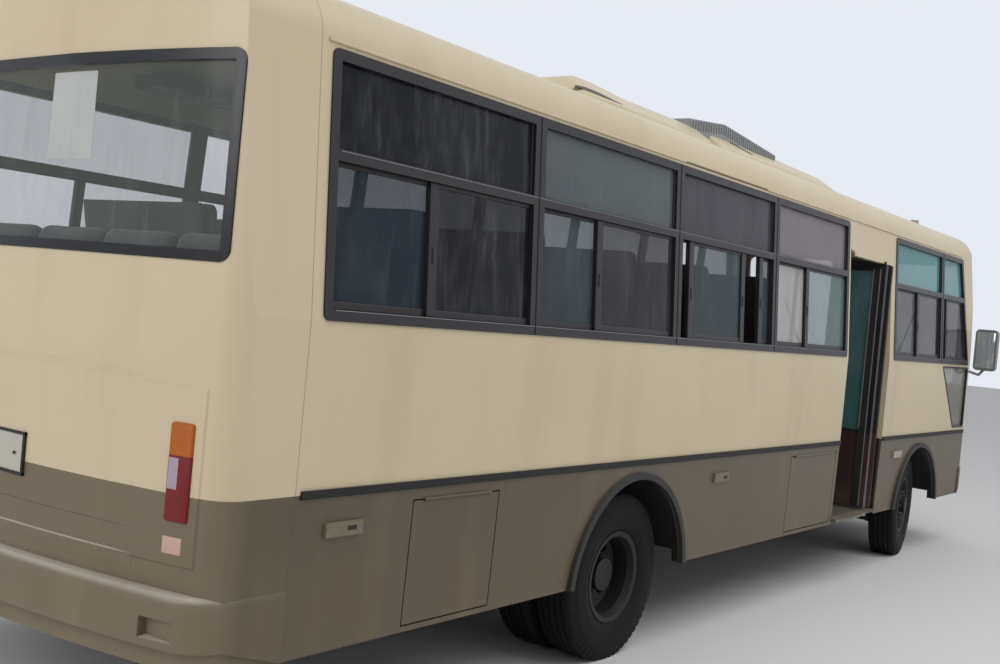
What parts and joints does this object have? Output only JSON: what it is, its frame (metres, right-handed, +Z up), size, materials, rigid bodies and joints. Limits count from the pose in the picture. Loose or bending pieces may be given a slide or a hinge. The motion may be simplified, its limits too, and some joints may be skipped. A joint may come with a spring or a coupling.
{
  "type": "midibus",
  "caption": "Midibus on twin rear wheels, with a band of framed side windows, a folding side door between the axles and a low roof unit.",
  "frame": {"origin": "on the ground, under the middle of the vehicle's overall box", "axes": "+X forward along the body, +Y to the left, +Z up"},
  "size_m": [8.4998, 2.66, 2.84],
  "materials": {
    "cream_paint": "satin",
    "taupe_paint": "satin",
    "black_frame": "satin",
    "black_rubber": "matt",
    "tinted_glass": "gloss",
    "lamp_plastic": "gloss",
    "maroon_panel": "satin",
    "mirror_shell": "gloss",
    "dark_steel": "matt",
    "floor_sheet": "worn",
    "engine_iron": "matt",
    "seat_fabric": "woven",
    "seat_steel": "satin",
    "dash_plastic": "matt",
    "tyre": "matt",
    "rim_paint": "worn"
  },
  "bodies": {
    "body": {"roof_panel": "cream_paint", "rear_cap": "cream_paint", "front_cap": "cream_paint", "side_upper_right": "cream_paint", "side_upper_left": "cream_paint", "door_header": "cream_paint", "roof_pod_rear": "cream_paint", "roof_pod_front": "cream_paint", "skirt_right": "taupe_paint", "skirt_left": "taupe_paint", "rear_bumper": "taupe_paint", "front_bumper": "taupe_paint", "window_frames_right": "black_frame", "window_frames_left": "black_frame", "window_seals": "black_rubber", "rub_rails": "black_rubber", "arch_trims": "black_rubber", "side_glass": "tinted_glass", "end_windows": "tinted_glass", "tail_lamps": "lamp_plastic", "head_lamps": "lamp_plastic", "marker_lamps": "lamp_plastic", "mirrors": "mirror_shell", "chassis_frame": "dark_steel", "floor_bearers": "dark_steel", "arch_liners": "dark_steel", "leaf_springs": "dark_steel", "rear_axle": "dark_steel", "tow_eyes": "dark_steel", "front_axle_beam": "dark_steel", "driveline": "dark_steel", "fuel_tank": "dark_steel", "floor_deck": "floor_sheet", "entry_steps": "floor_sheet", "engine_block": "engine_iron", "seat_pads": "seat_fabric", "rear_bench": "seat_fabric", "seat_frames": "seat_steel", "dashboard": "dash_plastic", "steering_wheel": "dash_plastic"},
    "door_front": {"door_leaf_front": "maroon_panel", "door_glass_front": "tinted_glass"},
    "door_rear": {"door_leaf_rear": "maroon_panel", "door_glass_rear": "tinted_glass"},
    "locker_rear": {"locker_door_rear": "taupe_paint"},
    "locker_mid": {"locker_door_mid": "taupe_paint"},
    "knuckle_right": {"knuckle_right": "dark_steel"},
    "knuckle_left": {"knuckle_left": "dark_steel"},
    "track_rod": {"track_rod": "dark_steel"},
    "wheel_front_right": {"front_tyre_right": "tyre", "front_rim_right": "rim_paint"},
    "wheel_front_left": {"front_tyre_left": "tyre", "front_rim_left": "rim_paint"},
    "wheels_rear_right": {"rear_tyres_right": "tyre", "rear_rims_right": "rim_paint"},
    "wheels_rear_left": {"rear_tyres_left": "tyre", "rear_rims_left": "rim_paint"}
  },
  "joints": [
    {"name": "door_fold", "type": "hinge", "parent": "body", "child": "door_front", "pos_m": [1.854, -1.073, 1.3], "axis": [0, 0, 1], "range_deg": [0, 84]},
    {"name": "door_leaf_fold", "type": "hinge", "parent": "door_front", "child": "door_rear", "pos_m": [1.79727, -0.69586, 1.3], "axis": [0, 0, 1], "range_deg": [-168, 0]},
    {"name": "locker_rear_lid", "type": "hinge", "parent": "body", "child": "locker_rear", "pos_m": [-2.9485, -1.13, 0.893], "axis": [-1, 0, 0], "range_deg": [0, 90]},
    {"name": "locker_mid_lid", "type": "hinge", "parent": "body", "child": "locker_mid", "pos_m": [0.636, -1.13, 0.893], "axis": [-1, 0, 0], "range_deg": [0, 90]},
    {"name": "kingpin_right", "type": "hinge", "parent": "body", "child": "knuckle_right", "pos_m": [2.813, -0.82, 0.39], "axis": [0, 0, 1], "range_deg": [-44, 28]},
    {"name": "spin_front_right", "type": "hinge", "parent": "knuckle_right", "child": "wheel_front_right", "pos_m": [2.83109, -0.94873, 0.39], "axis": [-0.1392, 0.9903, 0], "continuous": true},
    {"name": "spin_rear_right", "type": "hinge", "parent": "body", "child": "wheels_rear_right", "pos_m": [-1.577, -0.84, 0.39], "axis": [0, 1, 0], "continuous": true},
    {"name": "kingpin_left", "type": "hinge", "parent": "body", "child": "knuckle_left", "pos_m": [2.813, 0.82, 0.39], "axis": [0, 0, 1], "range_deg": [-44, 28]},
    {"name": "spin_front_left", "type": "hinge", "parent": "knuckle_left", "child": "wheel_front_left", "pos_m": [2.79491, 0.94873, 0.39], "axis": [-0.1392, 0.9903, 0], "continuous": true},
    {"name": "spin_rear_left", "type": "hinge", "parent": "body", "child": "wheels_rear_left", "pos_m": [-1.577, 0.84, 0.39], "axis": [0, 1, 0], "continuous": true},
    {"name": "track_rod_end", "type": "hinge", "parent": "knuckle_right", "child": "track_rod", "pos_m": [2.64465, -0.84366, 0.295], "axis": [0, 0, 1], "range_deg": [-28, 44]}
  ],
  "couplings": [
    {"joint": "door_leaf_fold", "follows": "door_fold", "ratio": -2},
    {"joint": "kingpin_left", "follows": "kingpin_right", "ratio": 1},
    {"joint": "track_rod_end", "follows": "kingpin_right", "ratio": -1}
  ]
}
